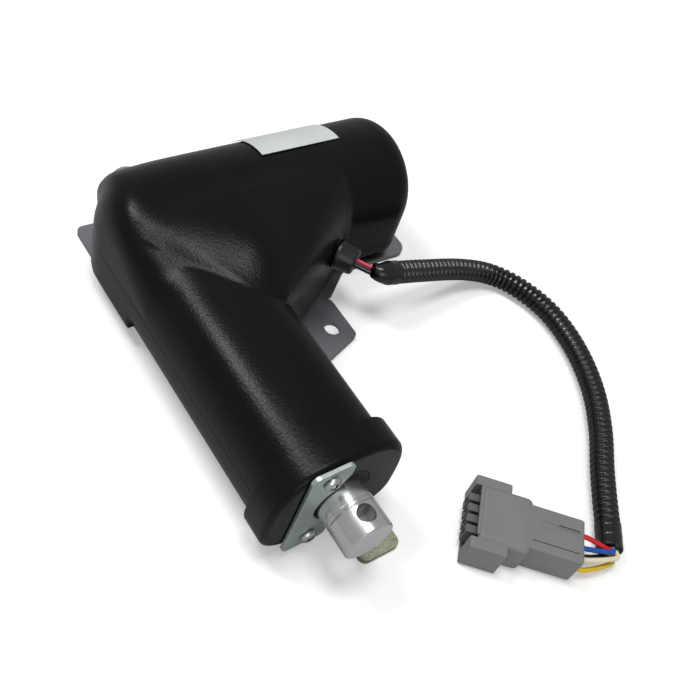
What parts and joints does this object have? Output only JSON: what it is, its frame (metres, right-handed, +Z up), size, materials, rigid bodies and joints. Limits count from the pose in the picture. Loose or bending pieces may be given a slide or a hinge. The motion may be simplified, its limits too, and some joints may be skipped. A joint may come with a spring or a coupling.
{
  "type": "throttle actuator",
  "caption": "Linear throttle actuator: L-shaped black housing with a sliding drilled rod, zinc mounting plate, looped loom and sealed plug.",
  "frame": {"origin": "on the underside of the mounting plate, straight below the crossing of the rod's axis and the motor's axis", "axes": "+X along the rod towards its drilled tip, +Y along the motor's barrel away from the rod, +Z up from the mounting plate"},
  "size_m": [0.2358, 0.1904, 0.0545],
  "materials": {
    "black_plastic": "satin grained black glass-filled plastic",
    "black_rubber": "matt black rubber",
    "loom_plastic": "black corrugated tube and glossy tape",
    "rod_aluminium": "turned aluminium",
    "zinc_plate": "zinc-plated steel",
    "plain_steel": "bright steel",
    "bronze": "oiled bronze",
    "gear_plastic": "natural acetal",
    "dark_plastic": "dark moulded plastic",
    "magnet": "sintered ferrite",
    "copper": "copper winding",
    "label_silver": "bare silver label",
    "plug_grey": "grey moulded plastic",
    "seal_orange": "silicone seal",
    "wire_red": "red insulation",
    "wire_blue": "blue insulation",
    "wire_black": "black insulation",
    "wire_cream": "cream insulation",
    "wire_yellow": "yellow insulation"
  },
  "bodies": {
    "housing": {"upper_housing": "black_plastic", "lower_housing": "black_plastic", "end_cap": "black_plastic", "rod_guide": "dark_plastic", "guide_support": "dark_plastic", "rod_wiper": "black_rubber", "retainer_plate": "zinc_plate", "retainer_screw_1": "plain_steel", "retainer_screw_2": "plain_steel", "thrust_washer": "bronze", "front_bearing": "plain_steel", "bearing_plate": "dark_plastic", "rear_bush": "bronze", "rear_stud": "plain_steel", "rear_washer": "magnet", "rear_nut": "plain_steel", "motor_can": "plain_steel", "motor_end_bell": "dark_plastic", "brush_ring": "dark_plastic", "motor_magnet_1": "magnet", "motor_magnet_2": "magnet", "motor_mount_front": "black_rubber", "motor_mount_rear": "black_rubber", "position_sensor": "dark_plastic", "mounting_plate": "zinc_plate", "housing_screw_1": "plain_steel", "housing_screw_2": "plain_steel", "housing_screw_3": "plain_steel", "housing_screw_4": "plain_steel", "housing_screw_5": "plain_steel", "label": "label_silver", "cable_boot": "black_rubber", "exit_wire_red": "wire_red", "exit_wire_white": "wire_cream", "exit_wire_black": "wire_black", "loom_tape_start": "loom_plastic", "cable_loom": "loom_plastic", "loom_tape_end": "loom_plastic", "plug_wire_red": "wire_red", "plug_wire_blue": "wire_blue", "plug_wire_black": "wire_black", "plug_wire_cream": "wire_cream", "plug_wire_yellow": "wire_yellow", "plug_shell": "plug_grey", "plug_core": "plug_grey", "plug_rear_seal": "seal_orange"},
    "rod": {"actuator_rod": "rod_aluminium", "drive_nut": "gear_plastic", "sensor_shoe": "gear_plastic"},
    "screw": {"lead_screw": "plain_steel", "face_gear": "gear_plastic"},
    "rotor": {"motor_armature": "copper", "motor_pinion": "plain_steel"}
  },
  "joints": [
    {"name": "motor_spin", "type": "hinge", "parent": "housing", "child": "rotor", "pos_m": [0, 0.016, 0.0266], "axis": [0, 1, 0], "range_deg": [0, 10800]},
    {"name": "screw_spin", "type": "hinge", "parent": "housing", "child": "screw", "pos_m": [0, 0, 0.0266], "axis": [1, 0, 0], "range_deg": [-3601, 1]},
    {"name": "rod_slide", "type": "slide", "parent": "housing", "child": "rod", "axis": [1, 0, 0], "range_m": [-0.0001, 0.0501]}
  ],
  "couplings": [
    {"joint": "screw_spin", "follows": "motor_spin", "ratio": -0.33333},
    {"joint": "rod_slide", "follows": "motor_spin", "m_per_rad": 0.00026526}
  ]
}
